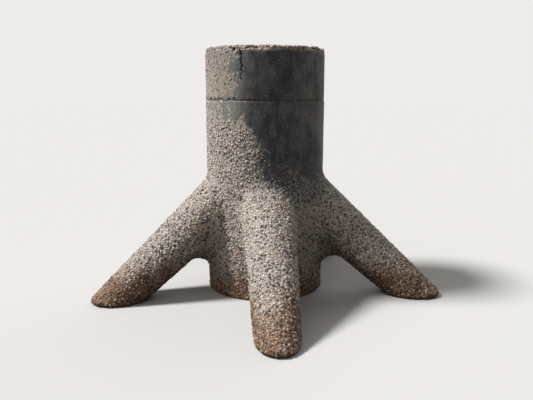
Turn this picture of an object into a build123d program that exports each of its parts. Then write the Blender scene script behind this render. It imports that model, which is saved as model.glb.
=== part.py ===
"""Cast concrete armour unit: a round column standing on the ground, ringed by raking tapered legs.

The whole unit is one casting. Its origin is the centre of the column's base, and +Z is up.
"""
import os
from math import asin, cos, pi, radians, sin, tan

from build123d import *

# Column: cast in two lifts, with the joint between them showing as a shallow groove.
column_radius = 470
column_height = 1900
lift_joint_drop = 395
lift_joint_width = 12
lift_joint_depth = 6
rim_rounding = 20

# Legs: tapered and all alike, with their axes meeting on the column's axis.
leg_count = 5
first_leg_turn = 18
leg_slope = 40.5
leg_axis_height = 1050
leg_radius_at_axis = 232
leg_radius_at_ground = 156
foot_rounding = 30

# Blends: this wide, or narrower where two legs leave too little of the column free between them.
widest_blend = 120
blend_share_of_limit = 0.9

# The ground cuts each leg off flat, so a leg is first made longer than its axis.
leg_axis_length = leg_axis_height / sin(radians(leg_slope))
leg_overrun = 2 * leg_radius_at_ground / tan(radians(leg_slope))
leg_taper = (leg_radius_at_axis - leg_radius_at_ground) / leg_axis_length
leg_end_radius = leg_radius_at_ground - leg_taper * leg_overrun

# Where a leg leaves the column it covers a turn of the column, and its sides meet the column's
# face at a right angle plus half that turn. Two neighbouring blends share the free arc.
leg_radius_at_column = leg_radius_at_axis - leg_taper * column_radius / cos(radians(leg_slope))
half_turn = asin(leg_radius_at_column / column_radius)
free_arc = column_radius * (2 * pi / leg_count - 2 * half_turn)
blend_limit = free_arc / 2 * tan((pi / 2 + half_turn) / 2)
blend_radius = min(widest_blend, blend_share_of_limit * blend_limit)

lift_joint_height = column_height - lift_joint_drop

os.makedirs("parts", exist_ok=True)

with BuildPart() as tetrapod:
    # The column, then the legs one by one, each leaning down and out from the column's axis.
    with BuildSketch(Plane.XY):
        Circle(column_radius)
    extrude(amount=column_height)
    for leg_turn in PolarLocations(0, leg_count, start_angle=first_leg_turn):
        with Locations(Location((0, 0, leg_axis_height)) * leg_turn):
            Cone(
                leg_radius_at_axis,
                leg_end_radius,
                leg_axis_length + leg_overrun,
                rotation=(0, 90 + leg_slope, 0),
                align=(Align.CENTER, Align.CENTER, Align.MIN),
            )

    # A wide soft blend runs all round each leg where it leaves the column.
    plain_edges = (GeomType.LINE, GeomType.CIRCLE)
    root_edges = tetrapod.edges().filter_by(lambda edge: edge.geom_type not in plain_edges)
    fillet(root_edges, radius=blend_radius)

    # One flat cut at ground level leaves the column's base and the feet, whose edges are worn round.
    split(bisect_by=Plane.XY, keep=Keep.TOP)
    ground_faces = tetrapod.faces().filter_by(Plane.XY).group_by(Axis.Z)[0]
    fillet(ground_faces.edges().filter_by(GeomType.CIRCLE, reverse=True), radius=foot_rounding)

    # The worn rim round the flat top.
    fillet(tetrapod.edges().group_by(Axis.Z)[-1], radius=rim_rounding)

    # The joint between the two lifts is a V-shaped groove round the column.
    with BuildSketch(Plane.XZ):
        with BuildLine():
            Polyline(
                (column_radius - lift_joint_depth, lift_joint_height),
                (column_radius + lift_joint_depth, lift_joint_height + lift_joint_width),
                (column_radius + lift_joint_depth, lift_joint_height - lift_joint_width),
                close=True,
            )
        make_face()
    revolve(axis=Axis.Z, mode=Mode.SUBTRACT)

tetrapod.part.label = "tetrapod"
export_step(tetrapod.part, "parts/tetrapod.step")
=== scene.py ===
"""Looks of a cast concrete armour unit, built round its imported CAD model. Lengths are in metres."""

import random
from math import cos, pi, radians, sin

import bmesh
import bpy
import numpy as np
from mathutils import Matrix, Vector, noise
from mathutils.bvhtree import BVHTree


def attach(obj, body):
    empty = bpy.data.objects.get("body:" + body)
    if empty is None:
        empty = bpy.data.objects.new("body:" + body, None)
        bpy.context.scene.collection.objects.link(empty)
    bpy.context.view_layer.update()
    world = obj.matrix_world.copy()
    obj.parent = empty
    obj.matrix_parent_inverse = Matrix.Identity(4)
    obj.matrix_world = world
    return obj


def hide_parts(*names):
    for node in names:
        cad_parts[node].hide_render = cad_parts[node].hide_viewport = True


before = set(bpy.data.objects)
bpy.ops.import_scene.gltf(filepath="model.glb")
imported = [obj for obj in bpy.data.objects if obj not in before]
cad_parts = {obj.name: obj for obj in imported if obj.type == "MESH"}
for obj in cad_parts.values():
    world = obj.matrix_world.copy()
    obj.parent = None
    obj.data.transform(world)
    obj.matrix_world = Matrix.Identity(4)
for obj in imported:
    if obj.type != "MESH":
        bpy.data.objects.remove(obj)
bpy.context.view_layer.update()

# The casting. The real unit is one block of plain concrete, poured in two lifts in a steel mould.
# A thin cement skin is left on the sheltered side of its column. Elsewhere it has worn off, and the
# stones stand out of a rougher mortar. A crack runs down from the rim, which is chipped all round.
column_radius = 0.47
column_height = 1.9
lift_joint_height = 1.505
leg_count = 5
first_leg_turn = radians(18)
weather_turn = radians(166)
crack_turn = radians(208.8)
crack_foot = 1.64
crack_reach = 0.39
weld_gap = 1e-5
mesh_size = 0.0165


def evaluated_mesh(thing, name):
    """The plain mesh that an object's modifiers give, which are then removed."""
    graph = bpy.context.evaluated_depsgraph_get()
    made = bpy.data.meshes.new_from_object(thing.evaluated_get(graph))
    made.name = name
    thing.modifiers.clear()
    return made


cad_form = bmesh.new()
cad_form.from_mesh(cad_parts["tetrapod"].data)
bmesh.ops.remove_doubles(cad_form, verts=cad_form.verts, dist=weld_gap)
bmesh.ops.recalc_face_normals(cad_form, faces=cad_form.faces)
cad_surface = BVHTree.FromBMesh(cad_form)
blank = bpy.data.meshes.new("casting_blank")
cad_form.to_mesh(blank)
cad_form.free()
casting = bpy.data.objects.new("casting", blank)
bpy.context.scene.collection.objects.link(casting)
remesh = casting.modifiers.new("even_mesh", "REMESH")
remesh.mode = "VOXEL"
remesh.voxel_size = mesh_size
casting.data = evaluated_mesh(casting, "casting")

# The mesh is made finer where its small forms are: once at the rim, twice at the joint and the crack.
fine_rim_foot = 1.835
fine_rim_reach = 0.40
fine_joint_half = 0.022
fine_joint_reach = 0.44
fine_crack_half = 0.03

form = bmesh.new()
form.from_mesh(casting.data)


def reach_of(places):
    """How far the places are from the column's axis."""
    return np.hypot(places[:, 0], places[:, 1])


def turn_from(places, centre):
    """How far round the column the places are from a turn, from -pi to pi."""
    turn = np.arctan2(places[:, 1], places[:, 0]) - centre
    return (turn + pi) % (2 * pi) - pi


def near_rim(centres):
    """The rim and the outer part of the top."""
    return (centres[:, 2] > fine_rim_foot) & (reach_of(centres) > fine_rim_reach)


def near_joint(centres):
    """A band round the joint between the two lifts."""
    gap = np.abs(centres[:, 2] - lift_joint_height)
    return (gap < fine_joint_half) & (reach_of(centres) > fine_joint_reach)


def near_crack(centres):
    """A strip down the crack."""
    aside = np.abs(turn_from(centres, crack_turn)) * column_radius
    return (aside < fine_crack_half) & (centres[:, 2] > crack_foot) & (reach_of(centres) > crack_reach)


def split_faces(wanted):
    """Halves the edges of the faces whose centre is wanted."""
    centres = np.array([face.calc_center_median() for face in form.faces])
    marked = wanted(centres)
    edges = set()
    for face, is_marked in zip(list(form.faces), marked):
        if is_marked:
            edges.update(face.edges)
    in_order = sorted(edges, key=lambda edge: edge.index)
    bmesh.ops.subdivide_edges(form, edges=in_order, cuts=1, use_grid_fill=True)
    form.verts.index_update()
    form.edges.index_update()
    form.faces.index_update()


for finer_part in (near_rim, near_joint, near_joint, near_crack, near_crack):
    split_faces(finer_part)

for vertex in form.verts:
    nearest = cad_surface.find_nearest(vertex.co)[0]
    if nearest is not None:
        vertex.co = nearest
bmesh.ops.recalc_face_normals(form, faces=form.faces)
form.normal_update()
points = np.array([vertex.co for vertex in form.verts])
outward = np.array([vertex.normal for vertex in form.verts])
reach = reach_of(points)
height = points[:, 2]
from_weather = np.abs(turn_from(points, weather_turn))

# Where the skin has worn off: up to a height that falls with the turn away from the weather side,
# and less in some patches. The upper lift is partly worn on that side, and the rim all round.
worn_turns = np.radians([0, 40, 49, 60, 71, 78, 100, 106, 180])
worn_heights = [1.50, 1.49, 1.33, 1.17, 0.99, 1.02, 1.01, 0.93, 0.90]
leg_start = column_radius + 0.03
face_reach = 0.45
upper_lift_wear = 0.66
skin_below_joint = 0.36
top_level = 1.88
top_usual_wear = 0.84
# Skin left in ovals on the worn side: the turn in degrees, the middle's height and the half sizes.
skin_patches = (
    {"turn": 202, "middle": 1.765, "wide": 0.055, "high": 0.07, "kept": 0.9},
    {"turn": 204, "middle": 1.44, "wide": 0.06, "high": 0.07, "kept": 0.8},
    {"turn": 191, "middle": 1.42, "wide": 0.03, "high": 0.10, "kept": 0.6},
)


def soft_step(low, high, values):
    """0 below low, 1 above high, and a smooth change between them."""
    share = np.clip((np.asarray(values, float) - low) / (high - low), 0, 1)
    return share * share * (3 - 2 * share)


def lumps(places, scale, octaves=1, seed=0.0):
    """Smooth noise from about -1 to 1 at the places, with lumps about 1 / scale metres wide."""
    shift = Vector((seed * 7.3, seed * 3.1, seed * 5.7))
    found = []
    for place in places:
        found.append(noise.fractal(Vector(place) * scale + shift, 1.0, 2.1, octaves))
    return np.array(found)


def oval_patch(at):
    """1 inside an oval patch on the column, falling to 0 at its ragged edge."""
    across = turn_from(points, radians(at["turn"])) * column_radius / at["wide"]
    up = (height - at["middle"]) / at["high"]
    ragged = np.hypot(across, up) + 0.75 * lumps(points, scale=15, octaves=4, seed=at["turn"])
    return 1 - soft_step(0.55, 1.15, ragged)


far_round = soft_step(radians(75), radians(95), from_weather)
worn_limit = np.interp(from_weather, worn_turns, worn_heights)
worn_limit = worn_limit + 0.075 * lumps(points, scale=9, octaves=3, seed=1)
worn_limit = worn_limit + 0.02 * lumps(points, scale=40, octaves=1, seed=2)
worn_limit = worn_limit + 0.07 * lumps(points, scale=3.5, octaves=2, seed=19) * far_round
bare = np.where(reach < leg_start, soft_step(-0.15, 0.09, worn_limit - height), 1.0)

upper_edge = from_weather + 0.10 * lumps(points, scale=12, octaves=2, seed=3)
upper_wear = upper_lift_wear * (1 - soft_step(radians(34), radians(47), upper_edge))
upper_wear = np.where((height > lift_joint_height) & (reach > face_reach), upper_wear, 0)
bare = np.maximum(bare, upper_wear)
for skin_patch in skin_patches:
    bare = bare * (1 - skin_patch["kept"] * oval_patch(skin_patch))

half_worn = soft_step(1.25, 1.38, height + 0.06 * lumps(points, scale=8, octaves=2, seed=16))
half_worn = half_worn * (height < lift_joint_height)
bare = bare * (1 - skin_below_joint * half_worn * (0.8 + 0.6 * lumps(points, scale=14, octaves=2, seed=17)))

rim_gap = np.hypot(np.maximum(column_height - height, 0), np.maximum(column_radius - reach, 0))
rim_band = 1 - soft_step(0.030, 0.048, rim_gap + 0.014 * lumps(points, scale=30, octaves=2, seed=4))
top_wear = top_usual_wear + 0.45 * lumps(points, scale=9, octaves=3, seed=5)
top_wear = np.where(height > top_level, top_wear, 0)
bare = np.clip(np.maximum(np.maximum(bare, rim_band), top_wear), 0, 1)

# How far the surface goes in: worn mortar, an uneven face, the joint, the chipped rim and the crack.
mortar_depth = 0.005
swell_depth = 0.0025
mortar_roughness = 0.0022
skin_unevenness = 0.0006
upper_lift_foot = lift_joint_height + 0.002
upper_lift_step = 0.0025
chip_foot = 1.8
chip_depth = 0.024
joint_reach = 0.43
joint_depth = 0.001
joint_pit_depth = 0.012
row_above_joint = 0.012
row_pit_depth = 0.009
crack_sway = 0.034
crack_half_width = 0.0028
crack_full = 1.665
crack_depth = 0.024
crack_pit_foot = 1.65
crack_pit_reach = 0.44
crack_pit_depth = 0.008
hole_turn = radians(201.6)
hole_reach = 0.462
hole_height = 1.868
hole_depth = 0.020
ground_contact = 0.003
foot_top = 0.02

inward = mortar_depth * bare
inward = inward + swell_depth * (1 + lumps(points, scale=3, octaves=2, seed=6)) * 0.5
inward = inward + mortar_roughness * bare * lumps(points, scale=26, octaves=2, seed=7)
inward = inward + skin_unevenness * lumps(points, scale=20, octaves=2, seed=8)
inward = inward + np.where((height > upper_lift_foot) & (reach > face_reach), upper_lift_step, 0)
chips = soft_step(0.05, 0.55, lumps(points, scale=13, octaves=3, seed=9))
chips = chips * (1 - soft_step(0.0, 0.05, rim_gap))
inward = inward + chip_depth * chips * (height > chip_foot)

joint_gap = np.abs(height - lift_joint_height + 0.002 * lumps(points, scale=14, octaves=1, seed=10))
joint_pits = soft_step(0.0, 0.35, lumps(points, scale=52, octaves=2, seed=11))
joint_side = 1 - soft_step(radians(38), radians(60), from_weather)
joint = (1 - soft_step(0.004, 0.010, joint_gap)) * (reach > joint_reach)
inward = inward + joint * (joint_depth + joint_pit_depth * joint_pits * (0.15 + 0.85 * joint_side))

row_gap = np.abs(height - lift_joint_height - row_above_joint)
row_pits = soft_step(0.10, 0.40, lumps(points, scale=42, octaves=1, seed=20))
row_pits = row_pits * (1 - soft_step(0.003, 0.010, row_gap))
row_pits = row_pits * (reach > joint_reach) * joint_side
inward = inward + row_pit_depth * row_pits

straight_up = np.column_stack([height * 0, height * 0, height])
crack_line = crack_turn + crack_sway * lumps(straight_up, scale=22, octaves=4, seed=12)
crack_aside = np.abs(turn_from(points, 0) % (2 * pi) - crack_line) * column_radius
crack_half = crack_half_width + crack_half_width * soft_step(1.70, 1.85, height)
crack_half = crack_half * (1 + 0.9 * lumps(points, scale=36, octaves=2, seed=13))
crack = 1 - soft_step(0.35, 1.15, crack_aside / np.maximum(crack_half, 1e-4))
crack = np.where(reach > crack_reach, crack, 0)
crack = crack * soft_step(crack_foot, crack_full, height)
crack_pits = soft_step(0.22, 0.45, lumps(points, scale=75, octaves=1, seed=15))
crack_pits = crack_pits * (1 - soft_step(0.008, 0.024, crack_aside))
crack_pits = crack_pits * (height > crack_pit_foot) * (reach > crack_pit_reach)
inward = inward + crack_depth * crack + crack_pit_depth * crack_pits

hole_place = np.array([hole_reach * cos(hole_turn), hole_reach * sin(hole_turn), hole_height])
hole_gap = np.linalg.norm(points - hole_place, axis=1) + 0.004 * lumps(points, scale=60, octaves=1, seed=14)
hole = 1 - soft_step(0.008, 0.021, hole_gap)
inward = inward + hole_depth * hole

inward = inward * soft_step(0.0, foot_top, height)
moved = points - outward * inward[:, None]
moved[:, 2] = np.where(height < ground_contact, 0.0, np.maximum(moved[:, 2], 0.0))
for vertex, place in zip(form.verts, moved):
    vertex.co = place
bmesh.ops.triangulate(form, faces=form.faces)
form.to_mesh(casting.data)
form.free()
casting.data.polygons.foreach_set("use_smooth", [True] * len(casting.data.polygons))

# What the materials and the stones read at each point: how worn it is, how deep it lies in a crack
# or pit, whether stones are kept off it, and how far it faces up.
# The material paints the hollows near-black as shade in the crack, the hole and the pits, and the joint
# line as a dark joint.
hollow = np.maximum(np.maximum(crack, hole), 0.9 * row_pits)
hollow = np.maximum(hollow, 0.55 * joint * joint_pits * joint_side)
hollow = np.maximum(hollow, 0.45 * joint * (1 - joint_side))
for attribute_name, values in (
    ("bare", bare),
    ("hollow", hollow),
    ("free_of_stones", np.maximum(hollow, joint)),
    ("tilt", outward[:, 2] + 0.25 * lumps(points, scale=6, octaves=3, seed=18)),
):
    attribute = casting.data.attributes.new(attribute_name, "FLOAT", "POINT")
    attribute.data.foreach_set("value", values.astype(np.float32))


class Graph:
    """Short ways to add, set and join the nodes of one tree."""

    def __init__(self, tree):
        self.tree = tree

    def add(self, kind, settings=None, **inputs):
        node = self.tree.nodes.new(kind)
        for name, value in (settings or {}).items():
            setattr(node, name, value)
        for name, value in inputs.items():
            self.feed(node, name, value)
        return node

    def feed(self, node, name, value):
        """Sets or joins an input, by its name or by its place, which is written i0, i1 and so on."""
        key = int(name[1:]) if name[0] == "i" and name[1:].isdigit() else name.replace("_", " ")
        socket = node.inputs[key]
        if isinstance(value, bpy.types.NodeSocket):
            self.tree.links.new(value, socket)
        else:
            socket.default_value = value

    def math(self, operation, *values):
        node = self.add("ShaderNodeMath", {"operation": operation})
        for place, value in enumerate(values):
            self.feed(node, f"i{place}", value)
        return node.outputs[0]

    def times(self, product, *factors):
        for factor in factors:
            product = self.math("MULTIPLY", product, factor)
        return product

    def vector(self, operation, *values, out=0):
        node = self.add("ShaderNodeVectorMath", {"operation": operation})
        for place, value in enumerate(values):
            self.feed(node, f"i{place}", value)
        return node.outputs[out]

    def between(self, value, low, high, first=0.0, last=1.0):
        """The first number at low, the last at high, and a smooth change between them."""
        node = self.add("ShaderNodeMapRange", {"interpolation_type": "SMOOTHSTEP"})
        for place, number in enumerate((value, low, high, first, last)):
            self.feed(node, f"i{place}", number)
        return node.outputs[0]

    def mix(self, share, first, second, blend="MIX"):
        node = self.add("ShaderNodeMix", {"data_type": "RGBA", "blend_type": blend})
        for place, value in ((0, share), (6, first), (7, second)):
            self.feed(node, f"i{place}", value)
        return node.outputs[2]

    def noise(self, place, scale, detail=3.0, roughness=0.6, out=0):
        node = self.add("ShaderNodeTexNoise", Vector=place, Scale=scale, Detail=detail, Roughness=roughness)
        return node.outputs[out]

    def blotches(self, place, scale, detail, low, high, roughness=0.6):
        """Noise that is 0 below low and 1 above high."""
        return self.between(self.noise(place, scale, detail, roughness), low, high)

    def cells(self, place, scale):
        return self.add("ShaderNodeTexVoronoi", {"feature": "F1"}, Vector=place, Scale=scale).outputs

    def draw(self, cells, part=0):
        """A random number from 0 to 1 for each cell."""
        return self.add("ShaderNodeSeparateColor", Color=cells[1]).outputs[part]

    def here(self):
        """The place on the piece, in metres."""
        return self.add("ShaderNodeTexCoord").outputs["Object"]

    def carried(self, name):
        """A value that the mesh carries at each of its points."""
        return self.add("ShaderNodeAttribute", {"attribute_name": name}).outputs["Fac"]

    def height_of(self, place):
        return self.add("ShaderNodeSeparateXYZ", Vector=place).outputs[2]

    def from_axis(self, place):
        """The distance from the column's axis."""
        return self.vector("LENGTH", self.vector("MULTIPLY", place, (1.0, 1.0, 0.0)), out=1)


def colour(red, green, blue):
    """A colour written as it shows on a screen, from 0 to 255, for a shader socket."""
    linear = []
    for part in (red, green, blue):
        share = part / 255
        linear.append(share / 12.92 if share <= 0.04045 else ((share + 0.055) / 1.055) ** 2.4)
    return (*linear, 1.0)


def shader_group(name, inputs, outputs):
    """A new shader node group with named sockets: its Graph, which also holds the tree's two ends."""
    tree = bpy.data.node_groups.new(name, "ShaderNodeTree")
    for direction, sockets in (("INPUT", inputs), ("OUTPUT", outputs)):
        for socket_name, kind in sockets:
            tree.interface.new_socket(socket_name, in_out=direction, socket_type=kind)
    group = Graph(tree)
    group.given = group.add("NodeGroupInput").outputs
    group.result = group.add("NodeGroupOutput")
    return group


def emptied(owner):
    """The Graph of a material's or world's node tree, with nothing left in it."""
    owner.use_nodes = True
    owner.node_tree.nodes.clear()
    return Graph(owner.node_tree)


# Stains that run over mortar, skin and stones alike: the damp brown foot of the unit, the rusty
# pink of the lowest stones, a rust run above the joint, broad patches of a darker grey, and painted
# shade on the undersides, partly their damp.
grey_patch = colour(70, 68, 66)
grey_patch_share = 0.12
pink_tinge = colour(230, 216, 206)
rusty_spot = colour(150, 114, 84)
rusty_spot_share = 0.35
rust_run = colour(172, 128, 78)
rust_run_share = 0.5
rust_run_place = (-0.467, -0.050, 1.66)
rust_run_core = 0.02
rust_run_end = 0.16
damp_tinge = colour(212, 194, 178)
damp_on_top = 0.62
wet_tinge = colour(150, 140, 132)
wet_share = 0.75
orange_spot = colour(156, 116, 86)
orange_share = 0.4
# Darker undersides: painted shade, partly damp.
underside_damp_and_shade_tinge = colour(170, 162, 156)
underside_damp_and_shade_share = 0.9

stains_and_shade = shader_group(
    "weather_stains_and_shade",
    [("Color", "NodeSocketColor"), ("Strength", "NodeSocketFloat")],
    [("Color", "NodeSocketColor")],
)
where = stains_and_shade.here()
high = stains_and_shade.height_of(where)
ragged = stains_and_shade.noise(where, scale=5.0, detail=4.0)
drift = stains_and_shade.noise(where, scale=1.3, detail=2.0)
tilt = stains_and_shade.carried("tilt")
damp_edge = stains_and_shade.math("MULTIPLY_ADD", ragged, 0.38, high)
damp_edge = stains_and_shade.math("MULTIPLY_ADD", drift, 0.16, damp_edge)
column_foot = stains_and_shade.between(stains_and_shade.from_axis(where), 0.49, 0.60, 0.10, 0.0)
damp_edge = stains_and_shade.math("ADD", damp_edge, column_foot)
damp = stains_and_shade.between(damp_edge, 0.425, 0.565, 1.0, 0.0)
damp = stains_and_shade.times(damp, stains_and_shade.between(tilt, 0.15, 0.75, 1.0, damp_on_top))
pink = stains_and_shade.between(stains_and_shade.math("MULTIPLY_ADD", ragged, 0.5, high), 0.38, 0.64, 1.0, 0.0)
broad = stains_and_shade.blotches(where, scale=2.3, detail=3.0, low=0.35, high=0.65)
rust_gap = stains_and_shade.vector("DISTANCE", where, rust_run_place, out=1)
rust = stains_and_shade.between(rust_gap, rust_run_core, rust_run_end, 1.0, 0.0)
rust = stains_and_shade.times(rust, stains_and_shade.blotches(where, scale=30.0, detail=3.0, low=0.50, high=0.62))
rusty = stains_and_shade.blotches(where, scale=48.0, detail=2.0, low=0.52, high=0.62)
wet = stains_and_shade.blotches(where, scale=20.0, detail=3.0, low=0.50, high=0.62)
orange = stains_and_shade.blotches(where, scale=33.0, detail=2.0, low=0.56, high=0.66)
# Surfaces that face down are darker: painted shade, partly damp.
underside_damp_and_shade = stains_and_shade.between(tilt, -0.10, -0.75, 0.0, underside_damp_and_shade_share)
shade = stains_and_shade.mix(stains_and_shade.times(broad, grey_patch_share), stains_and_shade.given["Color"], grey_patch)
shade = stains_and_shade.mix(pink, shade, pink_tinge, "MULTIPLY")
shade = stains_and_shade.mix(stains_and_shade.times(pink, rusty, rusty_spot_share), shade, rusty_spot)
shade = stains_and_shade.mix(stains_and_shade.times(rust, rust_run_share), shade, rust_run)
shade = stains_and_shade.mix(damp, shade, damp_tinge, "MULTIPLY")
shade = stains_and_shade.mix(stains_and_shade.times(damp, wet, wet_share), shade, wet_tinge, "MULTIPLY")
shade = stains_and_shade.mix(stains_and_shade.times(damp, orange, orange_share), shade, orange_spot)
shade = stains_and_shade.mix(underside_damp_and_shade, shade, underside_damp_and_shade_tinge, "MULTIPLY")
shade = stains_and_shade.mix(stains_and_shade.given["Strength"], stains_and_shade.given["Color"], shade)
stains_and_shade.feed(stains_and_shade.result, "Color", shade)

# The side of the column away from the weather is darker: partly a darker, lichen-stained skin and
# partly painted shade, lighter at the back in washed patches. Column share is painted shade on the
# mortar and the stones there on the column, and not on the legs.
most_washed = 0.55

shelter_and_shade = shader_group(
    "shelter_and_shade",
    [],
    [("Share", "NodeSocketFloat"), ("Column share", "NodeSocketFloat")],
)
where = shelter_and_shade.here()
high = shelter_and_shade.height_of(where)
facing = shelter_and_shade.vector("DOT_PRODUCT", where, (cos(weather_turn), sin(weather_turn), 0.0), out=1)
facing = shelter_and_shade.math("MULTIPLY_ADD", shelter_and_shade.noise(where, scale=6.0, detail=3.0), 0.16, facing)
below_rim = shelter_and_shade.between(high, 1.848, 1.868, 1.0, 0.0)
at_the_back = shelter_and_shade.between(facing, -0.10, 0.22, 1.0, 0.0)
washed = shelter_and_shade.between(shelter_and_shade.noise(where, scale=2.4, detail=4.0), 0.44, 0.60, 0.0, most_washed)
unwashed = shelter_and_shade.math("SUBTRACT", 1.0, shelter_and_shade.times(washed, at_the_back))
# Share: painted shade on the side away from the weather, partly a lichen-stained skin.
shelter_and_shade_share = shelter_and_shade.times(shelter_and_shade.between(facing, 0.335, 0.53, 1.0, 0.0), below_rim, unwashed)
shelter_and_shade.feed(shelter_and_shade.result, "Share", shelter_and_shade_share)
near_axis = shelter_and_shade.between(shelter_and_shade.from_axis(where), 0.49, 0.56, 1.0, 0.0)
on_column = shelter_and_shade.times(near_axis, shelter_and_shade.between(high, 0.62, 0.90))
far_side = shelter_and_shade.times(shelter_and_shade.between(facing, 0.25, 0.42, 1.0, 0.0), on_column)
shelter_and_shade.feed(shelter_and_shade.result, "Column share", shelter_and_shade.times(far_side, shelter_and_shade_share))

# The casting's finish: smooth dark skin, darker on the sheltered side as lichen stain and painted
# shade, with pin holes painted dark as shade, pale specks and a ring mark where it is left, and pitted
# mortar full of small grains where it has worn off, its pits painted dark as shade.
skin_grey = colour(144, 140, 134)
skin_dark = colour(98, 98, 99)
skin_pale = colour(178, 173, 165)
streak_share = 0.18
fleck_share = 0.6
speck_pale = colour(196, 190, 180)
speck_share = 0.7
# The darkening of the sheltered skin: painted shade, partly lichen stain.
lichen_and_shade_dark = colour(89, 93, 101)
lichen_and_shade_pale = colour(166, 169, 178)
tea_brown = colour(92, 78, 66)
tea_share = 0.55
tea_place = (-0.395, -0.255, 1.57)
# Painted shade in pin holes and in the mortar's pits.
pit_painted_shade = colour(38, 37, 42)
pin_hole_share = 0.85
ring_turn = radians(229)
ring_height = 1.108
ring_radius = 0.050
ring_share = 0.75
mortar_pale = colour(206, 193, 180)
mortar_grey = colour(160, 150, 140)
# The mortar between protruding stones: dirt, and painted shade between the stones.
mortar_dirt_and_shade = colour(92, 86, 84)
mortar_dirt_and_shade_share = 0.15
mortar_pit_share = 0.93
# Painted shade on the mortar of the sheltered column.
mortar_painted_shade = colour(138, 141, 149)
mortar_upper_lift = colour(233, 231, 229)
# Painted shade in the crack, the hole and the pits, and the dark joint line.
hollow_shade_and_joint_dark = colour(22, 21, 23)

concrete = bpy.data.materials.new("cast_concrete")
paint = emptied(concrete)
where = paint.here()
bare_share = paint.carried("bare")
hollow_share = paint.carried("hollow")
shelter_and_shade_shares = paint.add("ShaderNodeGroup", {"node_tree": shelter_and_shade.tree}).outputs
clouds = paint.blotches(where, scale=4.2, detail=6.0, low=0.34, high=0.66, roughness=0.68)
streaked = paint.vector("MULTIPLY", where, (1.0, 1.0, 0.30))
streaks = paint.blotches(streaked, scale=11.0, detail=4.0, low=0.45, high=0.75)
flecks = paint.blotches(where, scale=75.0, detail=4.0, low=0.44, high=0.66, roughness=0.7)
skin = paint.mix(clouds, skin_dark, skin_grey)
skin = paint.mix(paint.times(streaks, streak_share), skin, skin_pale)
skin = paint.mix(paint.times(flecks, fleck_share), skin, skin_pale)

# On the sheltered side the skin is darkened: partly lichen stain, partly painted shade.
drawn_out = paint.vector("MULTIPLY", where, (1.0, 1.0, 0.45))
lichen = paint.blotches(drawn_out, scale=15.0, detail=5.0, low=0.40, high=0.60, roughness=0.7)
lichen_and_shade_tinge = paint.mix(lichen, lichen_and_shade_dark, lichen_and_shade_pale)
skin = paint.mix(shelter_and_shade_shares["Share"], skin, lichen_and_shade_tinge, "MULTIPLY")
tea_gap = paint.vector("DISTANCE", where, tea_place, out=1)
tea = paint.between(tea_gap, 0.03, 0.16, tea_share, 0.0)
skin = paint.mix(paint.times(tea, lichen), skin, tea_brown)

specks = paint.cells(where, 34.0)
speck_size = paint.math("MULTIPLY_ADD", paint.noise(where, scale=60.0, detail=1.0), 0.26, -0.02)
speck_mask = paint.between(paint.math("SUBTRACT", specks[0], speck_size), -0.02, 0.05, 1.0, 0.0)
speck_mask = paint.times(speck_mask, paint.math("GREATER_THAN", paint.draw(specks), 0.50))
skin = paint.mix(paint.times(speck_mask, speck_share), skin, speck_pale)
# Pin holes, painted dark as shade in them.
pin_holes = paint.cells(where, 27.0)
pin_hole_mask = paint.between(pin_holes[0], 0.07, 0.14, 1.0, 0.0)
pin_hole_chosen = paint.math("GREATER_THAN", paint.draw(pin_holes, part=1), 0.70)
pin_hole_mask = paint.times(pin_hole_mask, pin_hole_chosen)
skin = paint.mix(paint.times(pin_hole_mask, pin_hole_share), skin, pit_painted_shade)

ring_centre = (column_radius * cos(ring_turn), column_radius * sin(ring_turn), ring_height)
ring_gap = paint.math("SUBTRACT", paint.vector("DISTANCE", where, ring_centre, out=1), ring_radius)
ring_near = paint.between(paint.math("ABSOLUTE", ring_gap), 0.0015, 0.0050, 1.0, 0.0)
ring_worn = paint.blotches(where, scale=45.0, detail=3.0, low=0.40, high=0.58)
skin = paint.mix(paint.times(ring_near, ring_worn, ring_share), skin, speck_pale)

grains = paint.cells(where, 120.0)
mortar = paint.mix(paint.draw(grains), mortar_grey, mortar_pale)
wander = paint.vector("MULTIPLY", paint.noise(where, scale=40.0, detail=1.0, out=1), (0.02, 0.02, 0.02))
# Pits in the mortar, painted dark as shade in them.
pits = paint.cells(paint.vector("ADD", where, wander), 52.0)
pit_mask = paint.between(pits[0], 0.29, 0.41, 1.0, 0.0)
pit_limit = paint.between(bare_share, 0.60, 0.95, 0.42, 1.0)
pit_mask = paint.times(pit_mask, paint.math("LESS_THAN", paint.draw(pits), pit_limit))
# Where it is barest the mortar is darker: dirt, and painted shade between the stones.
deep = paint.between(bare_share, 0.72, 0.98)
mortar = paint.mix(paint.times(deep, mortar_dirt_and_shade_share), mortar, mortar_dirt_and_shade)
mortar = paint.mix(paint.times(pit_mask, mortar_pit_share), mortar, pit_painted_shade)
# Painted shade on the mortar of the sheltered column.
mortar = paint.mix(shelter_and_shade_shares["Column share"], mortar, mortar_painted_shade, "MULTIPLY")
upper_lift = paint.between(paint.height_of(where), lift_joint_height - 0.003, lift_joint_height + 0.003)
mortar = paint.mix(upper_lift, mortar, mortar_upper_lift, "MULTIPLY")

bare_edge = paint.math("MULTIPLY_ADD", paint.noise(where, scale=38.0, detail=4.0), 1.3, bare_share)
bare_mask = paint.between(bare_edge, 1.12, 1.34)
surface = paint.mix(bare_mask, skin, mortar)
stained_and_shaded = paint.add("ShaderNodeGroup", {"node_tree": stains_and_shade.tree}, Color=surface, Strength=1.0)
# The crack, the hole and the pits are painted near-black as shade; the joint line is a dark joint.
final = paint.mix(hollow_share, stained_and_shaded.outputs[0], hollow_shade_and_joint_dark)

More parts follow.
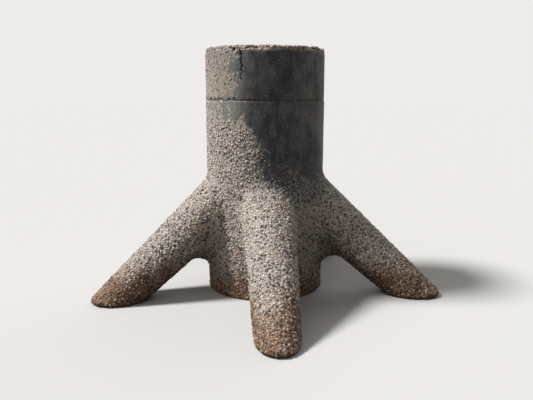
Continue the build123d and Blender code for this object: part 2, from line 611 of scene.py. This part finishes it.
fine = paint.noise(where, scale=260.0, detail=3.0)
skin_height = paint.math("MULTIPLY_ADD", pin_hole_mask, -2.0, paint.times(fine, 0.5))
fine_on_grains = paint.math("SUBTRACT", fine, grains[0])
gritty = paint.math("MULTIPLY_ADD", paint.noise(where, scale=620.0, detail=2.0), 0.9, fine_on_grains)
mortar_height = paint.math("MULTIPLY_ADD", pit_mask, -3.0, paint.times(gritty, 1.5))
relief = paint.add("ShaderNodeMix", {"data_type": "FLOAT"}, i0=bare_mask, i2=skin_height, i3=mortar_height)
bump = paint.add("ShaderNodeBump", Strength=0.7, Distance=0.0014, Height=relief.outputs[0])
roughness = paint.between(bare_mask, 0.0, 1.0, 0.78, 0.93)
concrete_shader = paint.add("ShaderNodeBsdfPrincipled", Base_Color=final, Roughness=roughness)
paint.feed(concrete_shader, "Normal", bump.outputs[0])
paint.feed(concrete_shader, "Specular IOR Level", 0.35)
paint.add("ShaderNodeOutputMaterial", Surface=concrete_shader.outputs[0])
casting.data.materials.clear()
casting.data.materials.append(concrete)
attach(casting, "root")
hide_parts("tetrapod")

# The exposed stones. The real ones are the concrete's own gravel, about 20 mm across, held in the
# mortar by their lower halves and worn round on top. Each piece is the gravel of one leg and of
# the fifth of the column that it stands on.
stone_spacing = 0.0155
most_per_square_metre = 5500.0
smallest_scale = 0.58
largest_scale = 1.22
stone_radius = 0.0110
stone_top = 0.0038
stone_bottom = 0.0050
stone_sides = 7
stone_rings = ((0.62, 0.86), (1.0, 0.05))
crown_slope = 0.25
shape_count = 7
first_shape_seed = 40
stone_lean = 0.25
stone_sunk_to = -0.0020
stone_raised_to = 0.0005
lowest_stone = 0.016
dark_share = 0.24
dark_scale = 0.80
stone_tints = (
    (0.00, colour(43, 42, 50)),
    (dark_share, colour(96, 90, 90)),
    (0.29, colour(184, 171, 161)),
    (0.36, colour(205, 191, 179)),
    (0.55, colour(213, 199, 186)),
    (0.74, colour(219, 207, 195)),
    (0.85, colour(208, 188, 174)),
    (0.92, colour(225, 217, 208)),
    (0.98, colour(188, 154, 128)),
)
mottle_tinge = colour(120, 112, 106)
mottle_share = 0.18
coat_open = colour(142, 136, 129)
# The coat over stones on the sheltered side: a darker stained coat, partly painted shade.
coat_stained_and_shaded = colour(74, 72, 71)
most_coated = 0.85
# Painted shade on the stones of the sheltered column.
stone_painted_shade = colour(154, 157, 165)

stone_store = bpy.data.collections.new("stone_shapes")
for shape_number in range(shape_count):
    draw = random.Random(first_shape_seed + shape_number)
    shape = bmesh.new()
    slope_x = draw.uniform(-crown_slope, crown_slope)
    slope_y = draw.uniform(-crown_slope, crown_slope)
    long_side = draw.uniform(0.95, 1.35)
    crown = shape.verts.new((0, 0, stone_top * draw.uniform(0.85, 1.1)))
    rings = []
    for ring_reach, ring_rise in stone_rings:
        ring = []
        for side in range(stone_sides):
            angle = 2 * pi * (side + draw.uniform(-0.25, 0.25)) / stone_sides
            out = stone_radius * ring_reach * draw.uniform(0.75, 1.18)
            x = out * cos(angle) * long_side
            y = out * sin(angle) / long_side
            z = stone_top * ring_rise + (x * slope_x + y * slope_y) * 0.6
            ring.append(shape.verts.new((x, y, z)))
        rings.append(ring)
    heel = shape.verts.new((0, 0, -stone_bottom))
    for side in range(stone_sides):
        after = (side + 1) % stone_sides
        shape.faces.new((crown, rings[0][side], rings[0][after]))
        shape.faces.new((rings[0][side], rings[1][side], rings[1][after], rings[0][after]))
        shape.faces.new((rings[1][side], heel, rings[1][after]))
    bmesh.ops.recalc_face_normals(shape, faces=shape.faces)
    bmesh.ops.triangulate(shape, faces=shape.faces)
    stone_mesh = bpy.data.meshes.new(f"stone_shape_{shape_number}")
    shape.to_mesh(stone_mesh)
    shape.free()
    stone_mesh.polygons.foreach_set("use_smooth", [True] * len(stone_mesh.polygons))
    stone_store.objects.link(bpy.data.objects.new(f"stone_shape_{shape_number}", stone_mesh))

stone = bpy.data.materials.new("worn_gravel")
paint = emptied(stone)
where = paint.here()
tint = paint.carried("tint")
bare_share = paint.carried("bare")
shelter_and_shade_shares = paint.add("ShaderNodeGroup", {"node_tree": shelter_and_shade.tree}).outputs
tones = paint.add("ShaderNodeValToRGB", Fac=tint)
tones.color_ramp.interpolation = "CONSTANT"
while len(tones.color_ramp.elements) < len(stone_tints):
    tones.color_ramp.elements.new(1.0)
for element, (tint_start, stone_tint) in zip(tones.color_ramp.elements, stone_tints):
    element.position = tint_start
    element.color = stone_tint
mottle = paint.blotches(where, scale=190.0, detail=3.0, low=0.35, high=0.65)
body = paint.mix(paint.times(mottle, mottle_share), tones.outputs[0], mottle_tinge)
coated = paint.between(bare_share, 0.30, 0.95, most_coated, 0.0)
# The coat is darker on the sheltered side: partly stain, partly painted shade.
coat = paint.mix(shelter_and_shade_shares["Share"], coat_open, coat_stained_and_shaded)
body = paint.mix(coated, body, coat)
# Painted shade on the stones of the sheltered column.
body = paint.mix(shelter_and_shade_shares["Column share"], body, stone_painted_shade, "MULTIPLY")
second_draw = paint.math("FRACT", paint.times(tint, 31.7))
stained_and_shaded = paint.add("ShaderNodeGroup", {"node_tree": stains_and_shade.tree}, Color=body)
paint.feed(stained_and_shaded, "Strength", paint.between(second_draw, 0.10, 0.80, 0.55, 1.0))
fine = paint.noise(where, scale=420.0, detail=3.0)
bump = paint.add("ShaderNodeBump", Strength=0.5, Distance=0.0008, Height=fine)
stone_shader = paint.add("ShaderNodeBsdfPrincipled", Base_Color=stained_and_shaded.outputs[0])
paint.feed(stone_shader, "Roughness", paint.between(mottle, 0.0, 1.0, 0.62, 0.80))
paint.feed(stone_shader, "Normal", bump.outputs[0])
paint.feed(stone_shader, "Specular IOR Level", 0.4)
paint.add("ShaderNodeOutputMaterial", Surface=stone_shader.outputs[0])

# The tree sets the stones out over the casting, no nearer to each other than the spacing, more of
# them where the surface is barer, and keeps those of one fifth of a turn.
tree = bpy.data.node_groups.new("set_stones", "GeometryNodeTree")
tree.interface.new_socket("Geometry", in_out="INPUT", socket_type="NodeSocketGeometry")
for socket_name, kind, start in (
    ("Spacing", "NodeSocketFloat", stone_spacing),
    ("Most per square metre", "NodeSocketFloat", most_per_square_metre),
    ("Seed", "NodeSocketInt", 11),
    ("Leg turn", "NodeSocketFloat", first_leg_turn),
    ("Smallest", "NodeSocketFloat", smallest_scale),
    ("Largest", "NodeSocketFloat", largest_scale),
):
    socket = tree.interface.new_socket(socket_name, in_out="INPUT", socket_type=kind)
    socket.default_value = start
tree.interface.new_socket("Geometry", in_out="OUTPUT", socket_type="NodeSocketGeometry")
tree.is_modifier = True
plan = Graph(tree)
given = plan.add("NodeGroupInput").outputs
result = plan.add("NodeGroupOutput")
bare_field = plan.add("GeometryNodeInputNamedAttribute", {"data_type": "FLOAT"}, Name="bare")
free_field = plan.add("GeometryNodeInputNamedAttribute", {"data_type": "FLOAT"}, Name="free_of_stones")
how_bare = plan.math("POWER", plan.between(bare_field.outputs[0], 0.10, 0.92), 6.0)
stones_allowed = plan.math("LESS_THAN", free_field.outputs[0], 0.3)
spread = plan.add("GeometryNodeDistributePointsOnFaces", {"distribute_method": "POISSON"})
plan.feed(spread, "Mesh", given["Geometry"])
plan.feed(spread, "Distance Min", given["Spacing"])
plan.feed(spread, "Density Max", given["Most per square metre"])
plan.feed(spread, "Density Factor", plan.times(how_bare, stones_allowed))
plan.feed(spread, "Seed", given["Seed"])
spot = plan.add("ShaderNodeSeparateXYZ", Vector=plan.add("GeometryNodeInputPosition").outputs[0]).outputs
spot_turn = plan.math("ARCTAN2", spot[1], spot[0])
from_leg = plan.math("WRAP", plan.math("SUBTRACT", spot_turn, given["Leg turn"]), pi, -pi)
in_fifth = plan.math("LESS_THAN", plan.math("ABSOLUTE", from_leg), pi / leg_count)
mine = plan.times(in_fifth, plan.math("GREATER_THAN", spot[2], lowest_stone))
drop = plan.add("GeometryNodeDeleteGeometry", {"domain": "POINT"}, Geometry=spread.outputs["Points"])
plan.feed(drop, "Selection", plan.math("LESS_THAN", mine, 0.5))
shapes = plan.add("GeometryNodeCollectionInfo", Collection=stone_store)
plan.feed(shapes, "Separate Children", True)
plan.feed(shapes, "Reset Children", True)
spin = plan.add("FunctionNodeRandomValue", {"data_type": "FLOAT_VECTOR"}, Seed=21)
plan.feed(spin, "i0", (-stone_lean, -stone_lean, 0.0))
plan.feed(spin, "i1", (stone_lean, stone_lean, 2 * pi))
spin_turn = plan.add("FunctionNodeEulerToRotation", Euler=spin.outputs[0])
lie = plan.add("FunctionNodeRotateRotation", {"rotation_space": "LOCAL"})
plan.feed(lie, "Rotation", spread.outputs["Rotation"])
plan.feed(lie, "Rotate By", spin_turn.outputs[0])
size_draw = plan.add("FunctionNodeRandomValue", {"data_type": "FLOAT"}, Seed=22)
plan.feed(size_draw, "i2", given["Smallest"])
plan.feed(size_draw, "i3", given["Largest"])
tint_draw = plan.add("FunctionNodeRandomValue", {"data_type": "FLOAT"}, Seed=23)
sink = plan.add("FunctionNodeRandomValue", {"data_type": "FLOAT"}, Seed=24)
plan.feed(sink, "i2", stone_sunk_to)
plan.feed(sink, "i3", stone_raised_to)
sunk = plan.add("GeometryNodeSetPosition", Geometry=drop.outputs[0])
plan.feed(sunk, "Offset", plan.vector("MULTIPLY", spread.outputs["Normal"], sink.outputs[1]))
set_out = plan.add("GeometryNodeInstanceOnPoints", Points=sunk.outputs[0], Instance=shapes.outputs[0])
plan.feed(set_out, "Pick Instance", True)
plan.feed(set_out, "Rotation", lie.outputs[0])
dark_shrink = plan.between(tint_draw.outputs[1], dark_share, dark_share + 0.06, dark_scale, 1.0)
plan.feed(set_out, "Scale", plan.times(size_draw.outputs[1], dark_shrink))
keep_tint = plan.add("GeometryNodeStoreNamedAttribute", {"data_type": "FLOAT", "domain": "INSTANCE"})
plan.feed(keep_tint, "Geometry", set_out.outputs[0])
plan.feed(keep_tint, "Name", "tint")
plan.feed(keep_tint, "Value", tint_draw.outputs[1])
real = plan.add("GeometryNodeRealizeInstances", Geometry=keep_tint.outputs[0])
corner = plan.add("ShaderNodeSeparateXYZ", Vector=plan.add("GeometryNodeInputPosition").outputs[0]).outputs
above_ground = plan.add("ShaderNodeCombineXYZ", X=corner[0], Y=corner[1])
plan.feed(above_ground, "Z", plan.math("MAXIMUM", corner[2], 0.0))
clear = plan.add("GeometryNodeSetPosition", Geometry=real.outputs[0], Position=above_ground.outputs[0])
painted = plan.add("GeometryNodeSetMaterial", Geometry=clear.outputs[0], Material=stone)
plan.feed(result, "Geometry", painted.outputs[0])

socket_of = {item.name: item.identifier for item in tree.interface.items_tree if item.in_out == "INPUT"}
for leg in range(leg_count):
    gravel = bpy.data.objects.new(f"gravel_{leg + 1}", casting.data)
    bpy.context.scene.collection.objects.link(gravel)
    setter = gravel.modifiers.new("set_stones", "NODES")
    setter.node_group = tree
    setter[socket_of["Leg turn"]] = first_leg_turn + leg * 2 * pi / leg_count
    gravel.data = evaluated_mesh(gravel, f"gravel_{leg + 1}")
    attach(gravel, "root")

# The studio: a wide pale floor, an even pale room, and three soft lamps. The key lamp stands on the
# weather side, a weak fill lamp beside it, and the back lamp lights the sides away from the camera.
floor_reach = 60.0
floor_lit = colour(105, 103, 100)
floor_shown = colour(201, 200, 197)
room_light = 0.16
room_shown = colour(237, 236, 233)


def shows_background(graph):
    """1 for the rays that show the background: the camera's, a reflection's and those through glass."""
    ray = graph.add("ShaderNodeLightPath").outputs
    seen = graph.math("MAXIMUM", ray["Is Camera Ray"], ray["Is Glossy Ray"])
    return graph.math("MAXIMUM", seen, ray["Is Transmission Ray"])


floor_mesh = bpy.data.meshes.new("floor")
floor_corners = [(x * floor_reach, y * floor_reach, 0) for x, y in ((-1, -1), (1, -1), (1, 1), (-1, 1))]
floor_mesh.from_pydata(floor_corners, [], [(0, 1, 2, 3)])
floor = bpy.data.objects.new("floor", floor_mesh)
bpy.context.scene.collection.objects.link(floor)
floor_paint = bpy.data.materials.new("pale_floor")
paint = emptied(floor_paint)
floor_colour = paint.mix(shows_background(paint), floor_lit, floor_shown)
floor_shader = paint.add("ShaderNodeBsdfDiffuse", Color=floor_colour)
paint.add("ShaderNodeOutputMaterial", Surface=floor_shader.outputs[0])
floor.data.materials.append(floor_paint)

for lamp_name, energy, softness, lamp_turn, lamp_rise in (
    ("key_lamp", 4.4, 12, 143, 50),
    ("fill_lamp", 0.40, 60, 188, 38),
    ("back_lamp", 0.75, 60, 20, 35),
):
    lamp_data = bpy.data.lights.new(lamp_name, "SUN")
    lamp_data.energy = energy
    lamp_data.angle = radians(softness)
    lamp = bpy.data.objects.new(lamp_name, lamp_data)
    bpy.context.scene.collection.objects.link(lamp)
    turn = radians(lamp_turn)
    rise = radians(lamp_rise)
    lamp_from = Vector((cos(turn) * cos(rise), sin(turn) * cos(rise), sin(rise)))
    lamp.rotation_mode = "QUATERNION"
    lamp.rotation_quaternion = lamp_from.to_track_quat("Z", "Y")

room = bpy.data.worlds.new("pale_room")
bpy.context.scene.world = room
paint = emptied(room)
light = paint.add("ShaderNodeBackground", Color=(1.0, 1.0, 1.0, 1.0), Strength=room_light)
shown = paint.add("ShaderNodeBackground", Color=room_shown, Strength=1.0)
joined = paint.add("ShaderNodeMixShader", Fac=shows_background(paint))
paint.feed(joined, "i1", light.outputs[0])
paint.feed(joined, "i2", shown.outputs[0])
paint.add("ShaderNodeOutputWorld", Surface=joined.outputs[0])

# The camera stands where the photograph was taken from, and is turned to the middle of the unit.
camera_place = (-2.831, -3.394, 1.557)
camera_turn = radians(50.0)
camera_fall = radians(11.0)
camera_data = bpy.data.cameras.new("camera")
camera_data.lens = 37.0
camera_data.sensor_width = 36.0
camera = bpy.data.objects.new("camera", camera_data)
bpy.context.scene.collection.objects.link(camera)
camera.location = camera_place
level = cos(camera_fall)
looking = Vector((cos(camera_turn) * level, sin(camera_turn) * level, -sin(camera_fall)))
camera.rotation_mode = "QUATERNION"
camera.rotation_quaternion = (-looking).to_track_quat("Z", "Y")
bpy.context.scene.camera = camera
bpy.context.scene.view_settings.view_transform = "Standard"
